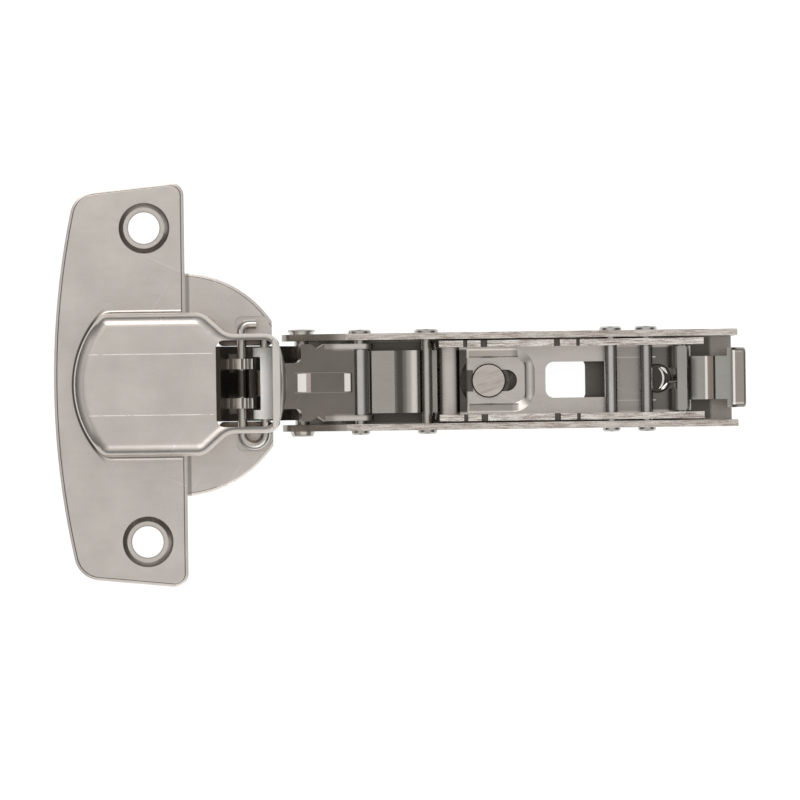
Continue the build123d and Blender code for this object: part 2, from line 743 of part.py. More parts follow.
# Clip channel: grips the mounting plate, and swings in the arm for the side adjustment
with BuildPart() as clip_channel:
    with BuildSketch(side_view):
        with BuildLine():
            Polyline(
                (channel_front, channel_top),
                (channel_lip_end, channel_top),
                (channel_lip_end, channel_top - channel_lip_drop),
                (channel_rear, channel_top - channel_lip_drop - 1.2),
                (channel_rear, channel_under),
                (channel_front, channel_under),
                close=True,
            )
        make_face()
    extrude(amount=channel_half, both=True)
    with BuildSketch(Plane.XY.offset(channel_floor)):
        Rectangle(4 * channel_lip_end, 2 * channel_inner_half)
    extrude(amount=channel_top - channel_floor + 1, mode=Mode.SUBTRACT)
    for start, thickness in both_sides(channel_inner_half, channel_half):
        with BuildSketch(side_view.offset(start)):
            with BuildLine():
                Polyline(
                    (channel_ear_front, channel_top - 0.6),
                    (channel_ear_front + 0.6, channel_top),
                    (channel_front + 0.1, channel_top),
                    (channel_front + 0.1, channel_under),
                    (channel_front - 0.8, channel_under + 0.8),
                    (channel_ear_front, channel_top - channel_ear_drop),
                    close=True,
                )
            make_face()
        extrude(amount=thickness)
    recess_middle = (channel_front + recess_end) / 2
    recess_length = recess_end - channel_front
    with BuildSketch(Plane.XY.offset(channel_under)):
        with Locations((recess_middle + channel_sheet, 0)):
            RectangleRounded(recess_length, 2 * (recess_half + channel_sheet), recess_half * 0.6)
    extrude(amount=-recess_depth)
    with BuildSketch(Plane.XY.offset(channel_floor)):
        with Locations((recess_middle - recess_half, 0)):
            RectangleRounded(
                recess_length + 2 * recess_half + recess_slope, 2 * recess_half + recess_slope, recess_half
            )
    extrude(amount=-recess_depth, taper=recess_taper, mode=Mode.SUBTRACT)
    with BuildSketch(side_view):
        with Locations((roll_place, roll_top - roll_radius)):
            Circle(roll_radius)
            Circle(roll_radius - channel_sheet, mode=Mode.SUBTRACT)
        with Locations((roll_place, roll_top - 2 * roll_radius)):
            Rectangle(4 * roll_radius, 2 * roll_radius, mode=Mode.SUBTRACT)
        with Locations((roll_place + roll_radius - channel_sheet / 2, (channel_floor + roll_top - roll_radius) / 2)):
            Rectangle(channel_sheet, channel_floor - roll_top + roll_radius)
    extrude(amount=channel_half - 0.3, both=True)
    with BuildSketch(Plane.XY.offset(recess_under - 3 * roll_radius)):
        with Locations((side_screw_place, 0)):
            Circle(collar_notch_radius)
        with Locations((channel_front + 2 * roll_radius, 0)):
            Rectangle(4 * roll_radius, 4 * roll_radius, mode=Mode.SUBTRACT)
    extrude(amount=4 * roll_radius, mode=Mode.SUBTRACT)
    with BuildSketch(Plane.XY.offset(channel_floor)):
        with Locations(((side_slot_start + side_slot_end) / 2, 0)):
            SlotOverall(side_slot_end - side_slot_start + 0.01, 2 * side_slot_half)
        with Locations(((channel_window_left + channel_window_right) / 2, 0)):
            RectangleRounded(
                channel_window_right - channel_window_left, 2 * channel_window_half, channel_window_round
            )
        with Locations((depth_screw_place, 0)):
            Circle(depth_neck_radius + lift_fit)
    extrude(amount=-3 * channel_sheet, mode=Mode.SUBTRACT)
    with BuildSketch(Plane.XY.offset(channel_floor)):
        with Locations(((channel_window_right + channel_rear) / 2, 0)):
            Rectangle(channel_rear - channel_window_right, 2 * recess_half)
    extrude(amount=-strip_depth, mode=Mode.SUBTRACT)
    for left, right in channel_notches:
        with BuildSketch(side_view):
            with Locations(((left + right) / 2, channel_top)):
                Rectangle(right - left, 2 * notch_drop)
        extrude(amount=channel_half + 1, both=True, mode=Mode.SUBTRACT)
    with BuildSketch(side_view):
        with Locations(swing_pivot):
            Circle(tail_pin_radius + running_fit)
        with Locations(stop_place):
            Circle(tail_pin_radius + loose_fit)
        with Locations(lever_pivot):
            Circle(lever_pin_radius + seat_fit)
    extrude(amount=channel_half + 1, both=True, mode=Mode.SUBTRACT)
clip_channel.part.label = "clip_channel"

# Side-adjusting screw: mushroom head in the channel, shank down through the deck
with BuildPart() as side_screw:
    with BuildSketch(Plane.XY.offset(recess_floor + lift_fit)):
        with Locations((side_screw_place, 0)):
            Circle(side_head_radius)
    extrude(amount=side_head_height)
    chamfer(side_screw.edges().filter_by(GeomType.CIRCLE).sort_by(Axis.Z)[-1], 0.2)
    with BuildSketch(Plane.XY.offset(recess_floor + lift_fit)):
        with Locations((side_screw_place, 0)):
            Circle(side_neck_radius)
    extrude(amount=recess_under - recess_floor - 2 * lift_fit)
    with BuildSketch(Plane.XY.offset(recess_under - lift_fit)):
        with Locations((side_screw_place, 0)):
            Circle(side_collar_radius)
    extrude(amount=-side_collar_height)
    with BuildSketch(Plane.XY.offset(recess_under - lift_fit - side_collar_height)):
        with Locations((side_screw_place, 0)):
            Circle(side_shank_radius)
    extrude(amount=side_shank_end - (recess_under - lift_fit - side_collar_height))
    with BuildSketch(Plane.XY.offset(side_shank_end)):
        with Locations((side_screw_place, 0)):
            Rectangle(2 * screw_recess_radius, 2 * screw_recess_arm)
            Rectangle(2 * screw_recess_arm, 2 * screw_recess_radius)
    extrude(amount=screw_recess_depth, mode=Mode.SUBTRACT)
side_screw.part.label = "side_screw"

# Depth-adjusting screw: spiral cam head above the channel's floor
with BuildPart() as depth_screw:
    with BuildSketch(Plane.XY.offset(strip_floor + lift_fit)):
        with Locations((depth_screw_place, 0)):
            Circle(depth_head_radius)
    extrude(amount=depth_head_height)
    chamfer(depth_screw.edges().filter_by(GeomType.CIRCLE).sort_by(Axis.Z)[-1], 0.15)
    with BuildSketch(Plane.XY.offset(strip_floor + lift_fit)):
        with Locations((depth_screw_place, 0)):
            Circle(depth_neck_radius)
    extrude(amount=channel_under - strip_floor - 2 * lift_fit)
    with BuildSketch(Plane.XY.offset(channel_under - lift_fit)):
        with Locations((depth_screw_place, 0)):
            Circle(depth_flange_radius)
    extrude(amount=-depth_flange_height)
    with BuildSketch(Plane.XY.offset(channel_under - lift_fit - depth_flange_height)):
        with Locations((depth_screw_place, 0)):
            Rectangle(2 * screw_recess_radius, 2 * screw_recess_arm)
            Rectangle(2 * screw_recess_arm, 2 * screw_recess_radius)
    extrude(amount=screw_recess_depth, mode=Mode.SUBTRACT)
    with BuildSketch(Plane.XY.offset(strip_floor + lift_fit + depth_head_height)):
        with Locations((depth_screw_place, 0)):
            SlotArc(
                CenterArc((0, 0), cam_groove_radius, -cam_groove_sweep / 2, cam_groove_sweep),
                2 * cam_groove_half,
            )
    extrude(amount=-cam_groove_depth, mode=Mode.SUBTRACT)
depth_screw.part.label = "depth_screw"

# Release lever: eye on its pin, thumb roll, plate and end lip
with BuildPart() as release_lever:
    for start, thickness in both_sides(lever_lug_inner, lever_bar_half):
        with BuildSketch(side_view.offset(start)):
            with Locations(lever_pivot):
                Circle(lever_eye_radius)
            with BuildLine():
                Polyline(
                    (lever_bar_left, lever_bar_top - lever_bar_sheet),
                    (lever_pivot[0] - lever_nose_reach, lever_pivot[1] - 0.4),
                    (lever_pivot[0] - lever_nose_reach, lever_pivot[1] - lever_eye_radius),
                    (lever_pivot[0], lever_pivot[1] - lever_eye_radius),
                    close=True,
                )
            make_face()
        extrude(amount=thickness)
    with BuildSketch(Plane.XY.offset(lever_bar_top)):
        with Locations(((lever_bar_left + lever_bar_right) / 2, 0)):
            RectangleRounded(lever_bar_right - lever_bar_left, 2 * lever_bar_half, lever_bar_sheet / 2)
    extrude(amount=-lever_bar_sheet)
    with BuildSketch(side_view):
        with BuildLine() as lever_line:
            FilletPolyline(
                (lever_pivot[0] + 0.9, lever_pivot[1] - 0.2),
                (lever_roll_place - 1.5, lever_roll_top - lever_sheet / 2),
                (lever_roll_place + 0.9, lever_roll_top - lever_sheet / 2),
                (lever_dip_place, lever_plate_height - lever_sheet / 2),
                (lever_plate_end, lever_plate_height - lever_sheet / 2),
                radius=lever_sheet * 0.8,
            )
        trace(lever_line.line, lever_sheet)
    extrude(amount=lever_half, both=True)
    with BuildSketch(Plane.YZ.offset(lever_plate_end)):
        with Locations((0, (lever_lip_top + lever_lip_bottom) / 2)):
            RectangleRounded(2 * lever_lip_half, lever_lip_top - lever_lip_bottom, lever_lip_round)
    extrude(amount=lever_lip_end - lever_plate_end)
    lip_edges = release_lever.faces().sort_by(Axis.X)[-1].edges()
    fillet(lip_edges, lever_lip_round / 2)
    with BuildSketch(side_view):
        with Locations((lever_plate_end - lever_shoulder / 2 + lift_fit, lever_plate_height - lever_sheet / 2)):
            Rectangle(lever_shoulder, lever_sheet)
    extrude(amount=lever_lip_half, both=True)
    with BuildSketch(side_view):
        with Locations(lever_pivot):
            Circle(coil_radius + coil_wire_radius + 2 * lift_fit)
    extrude(amount=lever_lug_inner, both=True, mode=Mode.SUBTRACT)
    with BuildSketch(side_view):
        with Locations(lever_pivot):
            Circle(lever_pin_radius + running_fit)
    extrude(amount=lever_bar_half + 1, both=True, mode=Mode.SUBTRACT)
release_lever.part.label = "release_lever"

# Hairpin spring of the lever, coiled round the lever's pin beside its eye
with BuildPart() as lever_spring:
    coil_start = -coil_pitch * coil_turns / 2
    coil_centre = (lever_pivot[0], coil_start, lever_pivot[1])
    coil_edge = Helix(
        coil_pitch, coil_pitch * coil_turns, coil_radius, center=coil_centre, direction=(0, 1, 0), mode=Mode.PRIVATE
    ).edge()
    with BuildLine() as coil_path:
        Line(coil_edge @ 0 - (coil_edge % 0) * coil_leg, coil_edge @ 0)
        add(coil_edge)
        Line(coil_edge @ 1, coil_edge @ 1 + (coil_edge % 1) * coil_leg)
    with BuildSketch(Plane(origin=coil_path.wire() @ 0, z_dir=coil_path.wire() % 0)):
        RegularPolygon(coil_wire_radius, 8)
    sweep(path=coil_path.wire(), is_frenet=True)
lever_spring.part.label = "lever_spring"

pieces = [
    cup.part,
    cup_pin.part,
    outer_link.part,
    outer_sleeve.part,
    link_bush.part,
    inner_link.part,
    hinge_arm.part,
    inner_rivet,
    outer_rivet,
    spring_rivet,
    stop_pin,
    swing_pin,
    lever_pin,
    rivet_collars.part,
    closing_spring.part,
    clip_channel.part,
    side_screw.part,
    depth_screw.part,
    release_lever.part,
    lever_spring.part,
]
os.makedirs("parts", exist_ok=True)
for piece in pieces:
    export_step(piece, "parts/" + piece.label + ".step")
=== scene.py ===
"""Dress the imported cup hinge: plated steel, sheared edges, pressed details, studio and camera."""

from __future__ import annotations

import logging
import math
from dataclasses import dataclass, field
from enum import Enum

import bpy
import numpy as np
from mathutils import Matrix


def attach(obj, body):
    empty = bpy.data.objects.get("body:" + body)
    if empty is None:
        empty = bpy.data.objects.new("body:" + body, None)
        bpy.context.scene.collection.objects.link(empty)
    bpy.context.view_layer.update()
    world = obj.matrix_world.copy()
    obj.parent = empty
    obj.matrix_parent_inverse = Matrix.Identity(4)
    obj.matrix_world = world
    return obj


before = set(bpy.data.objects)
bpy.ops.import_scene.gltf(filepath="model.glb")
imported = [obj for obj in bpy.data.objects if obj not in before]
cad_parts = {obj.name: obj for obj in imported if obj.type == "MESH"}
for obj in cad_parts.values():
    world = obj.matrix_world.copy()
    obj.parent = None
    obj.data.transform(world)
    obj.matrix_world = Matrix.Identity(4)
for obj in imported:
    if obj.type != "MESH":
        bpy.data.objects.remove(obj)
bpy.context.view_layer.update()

LOG = logging.getLogger("cup_hinge")
MM = 0.001

Color = tuple[float, float, float]
Point = tuple[float, float, float]
Ramp = tuple[float, float]
Socket = bpy.types.NodeSocket
Tree = bpy.types.NodeTree

OUTPUT_KINDS = {
    "Color": "NodeSocketColor",
    "Roughness": "NodeSocketFloat",
    "Height": "NodeSocketFloat",
    "Mask": "NodeSocketFloat",
    "Normal": "NodeSocketVector",
}

# Places of the inputs and the output that a Mix node uses for colours and for vectors.
MIX_SHARE = 0
MIX_COLORS = (6, 7)
MIX_COLOR_OUT = 2
MIX_VECTORS = (4, 5)
MIX_VECTOR_OUT = 1

WHITE = (1.0, 1.0, 1.0)
PLATE = (0.6, 0.58, 0.55)
PLATE_SHADE = (0.3, 0.28, 0.25)

# The standard curve from display values to linear light.
CURVE_OFFSET = 0.055
CURVE_SCALE = 1.055
CURVE_POWER = 2.4
CURVE_KNEE = 10
CURVE_SLOPE = 3294.6


class Node(Enum):
    """The CAD nodes that get a finish."""

    CUP = "cup"
    CUP_PIN = "cup_pin"
    OUTER_LINK = "outer_link"
    OUTER_SLEEVE = "outer_sleeve"
    LINK_BUSH = "link_bush"
    INNER_LINK = "inner_link"
    ARM = "hinge_arm"
    INNER_RIVET = "inner_rivet"
    OUTER_RIVET = "outer_rivet"
    SPRING_RIVET = "spring_rivet"
    STOP_PIN = "stop_pin"
    SWING_PIN = "swing_pin"
    LEVER_PIN = "lever_pin"
    COLLARS = "rivet_collars"
    CLOSING_SPRING = "closing_spring"
    CHANNEL = "clip_channel"
    SIDE_SCREW = "side_screw"
    DEPTH_SCREW = "depth_screw"
    LEVER = "release_lever"
    LEVER_SPRING = "lever_spring"


class Body(Enum):
    """The bodies of the frame that new pieces ride on."""

    CUP = "cup"
    DEPTH_SCREW = "depth_screw"


def linear(red: int, green: int, blue: int) -> Color:
    """Turn an 8-bit display colour into linear light.

    Args:
        red: Red from 0 to 255.
        green: Green from 0 to 255.
        blue: Blue from 0 to 255.

    Returns:
        The linear colour.
    """
    return tuple(
        ((c / 255 + CURVE_OFFSET) / CURVE_SCALE) ** CURVE_POWER if c > CURVE_KNEE else c / CURVE_SLOPE
        for c in (red, green, blue)
    )


def radians(angles: Point) -> Point:
    """Turn three angles from degrees into radians."""
    return tuple(math.radians(angle) for angle in angles)


def new_object(name: str, data: bpy.types.ID) -> bpy.types.Object:
    """Add an object with the given data to the scene."""
    item = bpy.data.objects.new(name, data)
    bpy.context.scene.collection.objects.link(item)
    return item


def new_material(name: str) -> bpy.types.Material:
    """Add a material that uses nodes."""
    material = bpy.data.materials.new(name)
    material.use_nodes = True
    return material


@dataclass(frozen=True)
class Noise:
    """One noise: cycles per metre, octaves, stretch along the axes and turn about them in degrees."""

    scale: float
    detail: float
    stretch: Point | None = None
    turn: Point = (0.0, 0.0, 0.0)
    roughness: float = 0.6


# Rolled plate. The weights are those of the clouds, the grain, the pits and the scratches, in that order.
GRAIN_NOISE = Noise(1100.0, 3.0, stretch=(0.16, 1.0, 1.0))
CLOUD_NOISE = Noise(120.0, 5.0)
PIT_NOISE = Noise(3200.0, 2.0)
PIT_RAMP = (0.36, 0.26)
SCRATCH_NOISES = (
    (Noise(900.0, 1.0, stretch=(0.03, 1.0, 1.0), turn=(0.0, 0.0, 24.0)), (0.70, 0.76)),
    (Noise(760.0, 1.0, stretch=(0.04, 1.0, 1.0), turn=(0.0, 0.0, -58.0)), (0.71, 0.77)),
)
NOISE_MIDDLE = 0.5
SHADE_SHARE = 0.14
SHADE_WEIGHTS = (-1.0, 0.4, 0.5, -0.2)
ROUGHNESS_WEIGHTS = (0.25, 0.25, 0.0, -0.1)
LEAST_ROUGHNESS = 0.08
RELIEF_WEIGHTS = (0.5, 1.0, -1.0, -0.8)

# Sheared edges. Each noise has its share of the tear.
EDGE_BRIGHT = linear(214, 207, 199)
EDGE_BURNT = linear(120, 107, 98)
TEAR_NOISES = (
    (Noise(5200.0, 2.0, stretch=(0.08, 1.0, 1.0)), 0.5),
    (Noise(4600.0, 3.0), 0.3),
    (Noise(260.0, 2.0, stretch=(0.6, 1.0, 1.0)), 0.2),
)
TEAR_RAMP = (0.36, 0.62)
TEAR_ROUGHNESS = 0.1
TEAR_RELIEF = 3.0

# Die lines: pressed creases whose bright tone is a painted highlight.
LINE_HIGHLIGHT = linear(248, 244, 240)
LINE_SHARE = 0.8
LINE_RELIEF = 3.0
WEAR_NOISE = Noise(500.0, 2.0)
WEAR_RAMP = (0.3, 0.5)

# Painted light patches: how far a face must look up before its painted shade or highlight shows, and before
# it looks pressed flatter.
TONE_RAMP = (-0.5, -0.3)
FLAT_RAMP = (0.0, 0.12)

# Moulded plastic.
MOULD_NOISE = Noise(1400.0, 3.0, roughness=0.5)
MOULD_SHADE = 0.88
MOULD_GLOW_WEIGHT = 0.05
MOULD_GLOW_DEPTH = 0.0005


class Wiring:
    """Short ways to add and join the nodes of one shader tree."""

    def __init__(self, tree: Tree) -> None:
        """Keep the tree.

        Args:
            tree: The tree that is wired.
        """
        self.tree = tree

    def node(self, kind: str, **settings: object) -> bpy.types.Node:
        """Add a node and set its attributes.

        Args:
            kind: Node type without the ShaderNode prefix.
            settings: Attributes to set.

        Returns:
            The new node.
        """
        item = self.tree.nodes.new("ShaderNode" + kind)
        for key, value in settings.items():
            setattr(item, key, value)
        return item

    def link(self, source: Socket, target: Socket) -> None:
        """Join two sockets."""
        self.tree.links.new(source, target)

    def feed(self, target: Socket, value: object) -> None:
        """Link a socket to an input, or set the input to a colour or a number."""
        if isinstance(value, Socket):
            self.link(value, target)
        elif isinstance(value, tuple):
            target.default_value = (*value, 1.0)
        else:
            target.default_value = value

    def math(self, operation: str, first: object, second: object = 0.0, clamp: bool = False) -> Socket:
        """Add a math node.

        Args:
            operation: Blender's name of the operation.
            first: A socket or a number.
            second: A socket or a number.
            clamp: Whether the result stays between 0 and 1.

        Returns:
            The result's socket.
        """
        item = self.node("Math", operation=operation, use_clamp=clamp)
        self.feed(item.inputs[0], first)
        self.feed(item.inputs[1], second)
        return item.outputs[0]

    def total(self, start: object, terms: list[tuple[Socket, float]], clamp: bool = False) -> Socket:
        """Add weighted terms to a start value.

        Args:
            start: A socket or a number.
            terms: Sockets with their weights.
            clamp: Whether the sum stays between 0 and 1.

        Returns:
            The sum's socket.
        """
        for index, (socket, weight) in enumerate(terms, 1):
            term = self.math("MULTIPLY", socket, weight)
            start = self.math("ADD", start, term, clamp=clamp and index == len(terms))
        return start

    def mix(self, share: object, first: object, second: object, blend: str = "MIX") -> Socket:
        """Mix two colours.

        Args:
            share: A socket or a number from 0 to 1.
            first: A socket or a colour.
            second: A socket or a colour.
            blend: Blend type.

        Returns:
            The colour's socket.
        """
        item = self.node("Mix", data_type="RGBA", blend_type=blend)
        for place, value in zip((MIX_SHARE, *MIX_COLORS), (share, first, second)):
            self.feed(item.inputs[place], value)
        return item.outputs[MIX_COLOR_OUT]

    def above(self, value: Socket, ramp: Ramp, top: float = 1.0) -> Socket:
        """Ramp a value smoothly from nothing at one level to the top at another, clamped.

        Args:
            value: The socket that is ramped.
            ramp: The levels that give nothing and the top.
            top: The highest result.

        Returns:
            The ramp's socket.
        """
        item = self.node("MapRange", interpolation_type="SMOOTHSTEP")
        for key, number in zip(("From Min", "From Max", "To Max"), (*ramp, top)):
            item.inputs[key].default_value = number
        self.link(value, item.inputs["Value"])
        return item.outputs[0]

    def axes(self, vector: Socket) -> tuple[Socket, Socket, Socket]:
        """Split a vector into x, y and z."""
        item = self.node("SeparateXYZ")
        self.link(vector, item.inputs[0])
        return tuple(item.outputs)

    def noise(self, vector: Socket, look: Noise) -> Socket:
        """Add a noise texture on a turned and stretched vector.

        Args:
            vector: The coordinate socket.
            look: The noise's numbers.

        Returns:
            The noise value's socket.
        """
        if any(look.turn):
            turner = self.node("VectorRotate", rotation_type="EULER_XYZ")
            turner.inputs["Rotation"].default_value = radians(look.turn)
            self.link(vector, turner.inputs["Vector"])
            vector = turner.outputs[0]
        if look.stretch is not None:
            mapping = self.node("Mapping")
            mapping.inputs["Scale"].default_value = look.stretch
            self.link(vector, mapping.inputs["Vector"])
            vector = mapping.outputs[0]
        values = {"Vector": vector, "Scale": look.scale, "Detail": look.detail, "Roughness": look.roughness}
        item = self.node("TexNoise")
        for key, value in values.items():
            self.feed(item.inputs[key], value)
        return item.outputs[0]

    def group(self, effect: Tree, values: dict[str, object]) -> bpy.types.NodeOutputs:
        """Add a shared node group and feed its inputs.

        Args:
            effect: The node group.
            values: Input names with sockets, colours or numbers.

        Returns:
            The group's outputs.
        """
        item = self.node("Group", node_tree=effect)
        for key, value in values.items():
            self.feed(item.inputs[key], value)
        return item.outputs


class GroupBuilder(Wiring):
    """Wires one shared shader node group."""

    def __init__(self, name: str, inputs: dict[str, float | Color | None], outputs: tuple[str, ...]) -> None:
        """Make the group and its sockets.

        Args:
            name: Name of the group.
            inputs: Input names with default values; None means a vector.
            outputs: Output names, each one of the known kinds.
        """
        super().__init__(bpy.data.node_groups.new(name, "ShaderNodeTree"))
        for key, value in inputs.items():
            kind = "NodeSocketFloat"
            if value is None:
                kind = "NodeSocketVector"
            elif isinstance(value, tuple):
                kind = "NodeSocketColor"
            socket = self.tree.interface.new_socket(key, in_out="INPUT", socket_type=kind)
            if value is not None:
                self.feed(socket, value)
        for key in outputs:
            self.tree.interface.new_socket(key, in_out="OUTPUT", socket_type=OUTPUT_KINDS[key])
        self.ends = self.tree.nodes.new("NodeGroupInput").outputs
        self.stop = self.tree.nodes.new("NodeGroupOutput")

    def give(self, **results: Socket) -> Tree:
        """Link the results to the group's outputs.

        Args:
            results: Output names with their sockets.

        Returns:
            The finished node group.
        """
        for key, socket in results.items():
            self.link(socket, self.stop.inputs[key])
        return self.tree


def plated_grain_group() -> Tree:
    """Build the plated-sheet effect: rolling grain, soft clouds, fine pits and straight scratches.

    Grain is noise drawn out along the rolling direction; clouds are slow noise; pits are the lowest part of
    a fine noise; scratches are the highest part of two noises drawn out to long thin streaks.

    Returns:
        The node group.
    """
    inputs = {
        "Vector": None,
        "Base": PLATE,
        "Shade": PLATE_SHADE,
        "Roughness": 0.35,
        "Grain": 0.5,
        "Clouds": 0.5,
        "Pits": 0.3,
        "Scratches": 0.5,
    }
    group = GroupBuilder("plated_grain", inputs, ("Color", "Roughness", "Height"))
    ends = group.ends
    grain = group.math("SUBTRACT", group.noise(ends["Vector"], GRAIN_NOISE), NOISE_MIDDLE)
    clouds = group.math("SUBTRACT", group.noise(ends["Vector"], CLOUD_NOISE), NOISE_MIDDLE)
    pits = group.above(group.noise(ends["Vector"], PIT_NOISE), PIT_RAMP)
    streaks = [group.above(group.noise(ends["Vector"], look), ramp) for look, ramp in SCRATCH_NOISES]
    scratches = group.math("ADD", *streaks, clamp=True)
    parts = [
        group.math("MULTIPLY", part, ends[key])
        for key, part in (("Clouds", clouds), ("Grain", grain), ("Pits", pits), ("Scratches", scratches))
    ]
    darker = group.total(SHADE_SHARE, list(zip(parts, SHADE_WEIGHTS)), clamp=True)
    rough = group.total(ends["Roughness"], list(zip(parts, ROUGHNESS_WEIGHTS)))
    return group.give(
        Color=group.mix(darker, ends["Base"], ends["Shade"]),
        Roughness=group.math("MAXIMUM", rough, LEAST_ROUGHNESS),
        Height=group.total(0.0, list(zip(parts, RELIEF_WEIGHTS))),
    )


def sheared_edge_group() -> Tree:
    """Build the cut-edge effect: a torn, streaked band above a given height of the sheet's walls.

    The mask is one where the height of the point is above the edge height. Inside it, the tear is the sum of
    streaks along the wall, fine specks and coarse patches, and it mixes a brown and a bright tone.

    Returns:
        The node group.
    """
    inputs = {
        "Vector": None,
        "Color": PLATE,
        "Roughness": 0.35,
        "Height": 0.0,
        "Edge Height": 0.0,
        "Bright": EDGE_BRIGHT,
        "Burnt": EDGE_BURNT,
    }
    group = GroupBuilder("sheared_edge", inputs, ("Color", "Roughness", "Height"))
    ends = group.ends
    height = group.axes(ends["Vector"])[2]
    mask = group.math("GREATER_THAN", height, ends["Edge Height"])
    tear = group.total(0.0, [(group.noise(ends["Vector"], look), share) for look, share in TEAR_NOISES])
    torn = group.mix(group.above(tear, TEAR_RAMP), ends["Burnt"], ends["Bright"])
    return group.give(
        Color=group.mix(mask, ends["Color"], torn),
        Roughness=group.total(ends["Roughness"], [(mask, TEAR_ROUGHNESS)]),
        Height=group.total(ends["Height"], [(group.math("MULTIPLY", mask, tear), TEAR_RELIEF)]),
    )


def pressed_line_group() -> Tree:
    """Build the die-line effect: two thin straight lines pressed along x on a flat face, painted bright as
    their highlight.

    The mask falls from one to nothing with the distance of |y| from the line's place. It holds only above a
    height and before an end along x, and a slow noise wears it away in places.

    Returns:
        The node group.
    """
    inputs = {
        "Vector": None,
        "Color": PLATE,
        "Height": 0.0,
        "Place": 0.005,
        "Half Width": 0.0001,
        "End": 0.006,
        "Face": 0.0114,
    }
    group = GroupBuilder("pressed_lines", inputs, ("Color", "Height"))
    ends = group.ends
    x, y, z = group.axes(ends["Vector"])
    off = group.math("ABSOLUTE", group.math("SUBTRACT", group.math("ABSOLUTE", y), ends["Place"]))
    mask = group.math("SUBTRACT", 1.0, group.math("DIVIDE", off, ends["Half Width"]), clamp=True)
    limits = (
        group.math("GREATER_THAN", z, ends["Face"]),
        group.math("LESS_THAN", x, ends["End"]),
        group.above(group.noise(ends["Vector"], WEAR_NOISE), WEAR_RAMP),
    )
    for limit in limits:
        mask = group.math("MULTIPLY", mask, limit)
    return group.give(
        Color=group.mix(group.math("MULTIPLY", mask, LINE_SHARE), ends["Color"], LINE_HIGHLIGHT),
        Height=group.total(ends["Height"], [(mask, LINE_RELIEF)]),
    )


def zone_group() -> Tree:
    """Build the box mask: one inside a box and its mirror image across y, with soft sides.

    Along each axis the mask is the clamped share of the way in from the box's side; along y the distance
    from the middle plane counts.

    Returns:
        The node group.
    """
    places = {f"{name} {letter}": 0.01 for name in ("Centre", "Half") for letter in "XYZ"}
    group = GroupBuilder("zone", {"Vector": None, **places, "Soft": 0.0001}, ("Mask",))
    ends = group.ends
    x, y, z = group.axes(ends["Vector"])
    mask: object = 1.0
    for place, letter in zip((x, group.math("ABSOLUTE", y), z), "XYZ"):
        off = group.math("ABSOLUTE", group.math("SUBTRACT", place, ends[f"Centre {letter}"]))
        room = group.math("SUBTRACT", ends[f"Half {letter}"], off)
        mask = group.math("MULTIPLY", mask, group.math("DIVIDE", room, ends["Soft"], clamp=True))
    return group.give(Mask=mask)


def round_zone_group() -> Tree:
    """Build the ring mask: one between two radii round a place and its mirror image across y.

    The ring can end along x, where the mask fades out.

    Returns:
        The node group.
    """
    inputs = {
        "Vector": None,
        "Centre X": 0.0,
        "Centre Y": 0.0,
        "Inner": 0.001,
        "Outer": 0.002,
        "Soft": 0.0001,
        "Until X": 1.0,
        "Fade": 0.001,
    }
    group = GroupBuilder("round_zone", inputs, ("Mask",))
    ends = group.ends
    x, y, _ = group.axes(ends["Vector"])
    along = group.math("SUBTRACT", x, ends["Centre X"])
    across = group.math("SUBTRACT", group.math("ABSOLUTE", y), ends["Centre Y"])
    squares = [group.math("MULTIPLY", side, side) for side in (along, across)]
    reach = group.math("SQRT", group.math("ADD", *squares))
    outside = group.math("DIVIDE", group.math("SUBTRACT", reach, ends["Inner"]), ends["Soft"], clamp=True)
    inside = group.math("DIVIDE", group.math("SUBTRACT", ends["Outer"], reach), ends["Soft"], clamp=True)
    before = group.math("DIVIDE", group.math("SUBTRACT", ends["Until X"], x), ends["Fade"], clamp=True)
    return group.give(Mask=group.math("MULTIPLY", group.math("MULTIPLY", outside, inside), before))


def painted_light_group() -> Tree:
    """Build the painted-light effect: where the mask is, a painted shade or highlight tone is mixed in and
    the surface looks flatter.

    The normal is mixed towards the part's own upright by the mask and an amount, and the colour towards a
    tone. Faces that look down are left alone, and for the normal also those that stand upright.

    Returns:
        The node group.
    """
    inputs = {"Mask": 0.0, "Color": PLATE, "Tone": PLATE, "Share": 0.5, "Normal": None, "Flat": 0.0}
    group = GroupBuilder("painted_light", inputs, ("Color", "Normal"))
    ends = group.ends
    upright = group.node("VectorTransform", vector_type="NORMAL", convert_from="OBJECT", convert_to="WORLD")
    upright.inputs[0].default_value = (0.0, 0.0, 1.0)
    dot = group.node("VectorMath", operation="DOT_PRODUCT")
    group.link(ends["Normal"], dot.inputs[0])
    group.link(upright.outputs[0], dot.inputs[1])
    facing = dot.outputs["Value"]
    shown = group.math("MULTIPLY", ends["Mask"], group.above(facing, TONE_RAMP))
    risen = group.math("MULTIPLY", ends["Mask"], group.above(facing, FLAT_RAMP))
    blend = group.node("Mix", data_type="VECTOR")
    group.link(group.math("MULTIPLY", risen, ends["Flat"]), blend.inputs[MIX_SHARE])
    for place, source in zip(MIX_VECTORS, (ends["Normal"], upright.outputs[0])):
        group.link(source, blend.inputs[place])
    unit = group.node("VectorMath", operation="NORMALIZE")
    group.link(blend.outputs[MIX_VECTOR_OUT], unit.inputs[0])
    share = group.math("MULTIPLY", shown, ends["Share"])
    return group.give(Color=group.mix(share, ends["Color"], ends["Tone"]), Normal=unit.outputs[0])


@dataclass(frozen=True)
class Effects:
    """The shared node groups."""

    grain: Tree
    edge: Tree
    lines: Tree
    zone: Tree
    ring: Tree
    painted_light: Tree


@dataclass(frozen=True, kw_only=True)
class LightPatch:
    """What a region does: a painted shade or highlight tone by a share, a flatter surface by an amount, soft
    sides.
    """

    tone: Color = PLATE
    share: float = 0.0
    flat: float = 0.0
    soft_mm: float = 0.15


